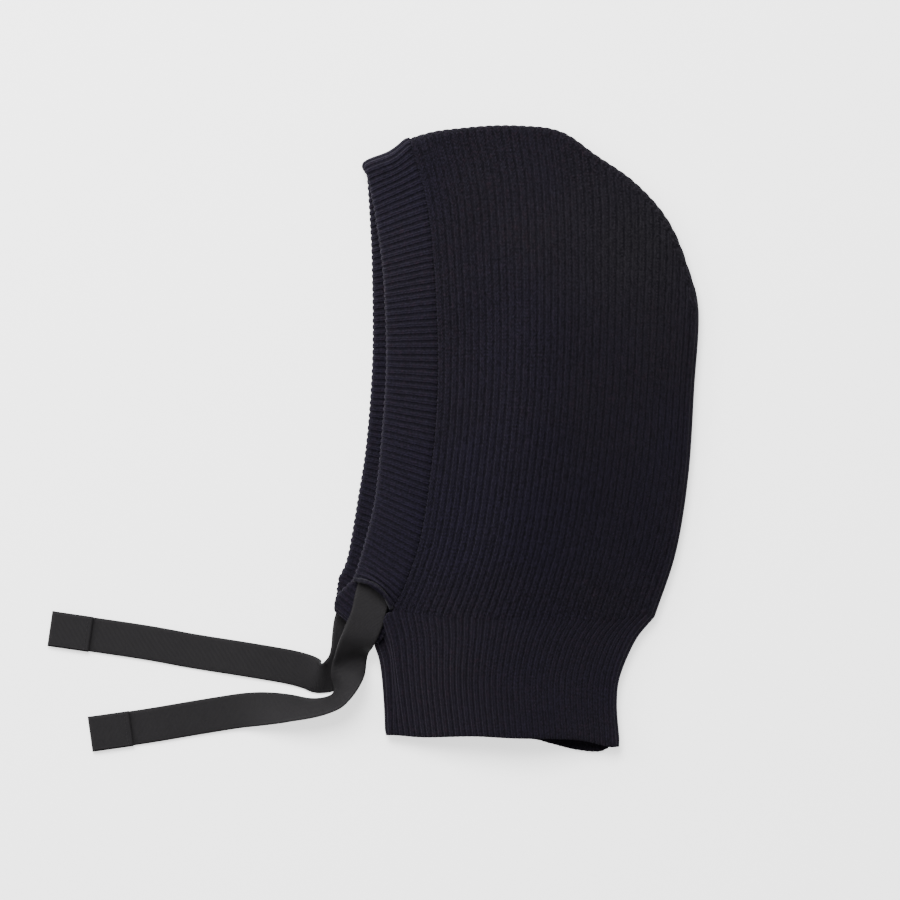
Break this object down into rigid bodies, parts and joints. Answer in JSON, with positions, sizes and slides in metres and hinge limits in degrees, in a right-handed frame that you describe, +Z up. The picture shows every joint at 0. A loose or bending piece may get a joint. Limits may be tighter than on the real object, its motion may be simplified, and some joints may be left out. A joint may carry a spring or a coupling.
{
  "type": "knitted drawstring balaclava",
  "caption": "Rib-knit hood balaclava with a doubled face band, a flat drawstring tape in its tunnel and loose stitched ends, lying flat on its side.",
  "frame": {"origin": "on the surface the hood lies on, under the middle of the hood without its ties", "axes": "+Y from the neck to the crown, +X from the face to the back of the head, +Z up from the surface, out of the left side"},
  "size_m": [0.3762, 0.3632, 0.0368],
  "materials": {
    "hood_knit": "matt fine wool rib, near-black navy",
    "band_knit": "matt fine wool 1 by 1 rib, near-black navy",
    "linking_yarn": "matt wool yarn",
    "tape": "matt woven tape, charcoal black",
    "thread": "polyester sewing thread, black"
  },
  "bodies": {
    "hood": {"hood_side_left": "hood_knit", "hood_side_right": "hood_knit", "crown_seam": "linking_yarn", "neck_rib": "hood_knit", "face_band": "band_knit", "chin_band": "band_knit", "band_seam_left": "linking_yarn", "band_seam_right": "linking_yarn", "mouth_rim_left": "band_knit", "mouth_rim_right": "band_knit", "tape_in_tunnel": "tape"},
    "left_root": {"tie_left_root": "tape"},
    "left_tie": {"tie_left": "tape", "tie_left_end_fold": "tape", "tie_left_end_stitching": "thread"},
    "right_root": {"tie_right_root": "tape"},
    "right_tie": {"tie_right": "tape", "tie_right_end_fold": "tape", "tie_right_end_stitching": "thread"}
  },
  "joints": [
    {"name": "pull_left", "type": "slide", "parent": "hood", "child": "left_root", "axis": [-0.3, -0.9539, 0], "range_m": [0, 0.025]},
    {"name": "swing_left", "type": "hinge", "parent": "left_root", "child": "left_tie", "pos_m": [-0.1, -0.147, 0.0034], "axis": [0, 0, 1], "range_deg": [0, 90]},
    {"name": "pull_right", "type": "slide", "parent": "hood", "child": "right_root", "axis": [-0.2, -0.9798, 0], "range_m": [0, 0.02]},
    {"name": "swing_right", "type": "hinge", "parent": "right_root", "child": "right_tie", "pos_m": [-0.0985, -0.1365, 0.0006], "axis": [0, 0, 1], "range_deg": [-30, 0]}
  ]
}
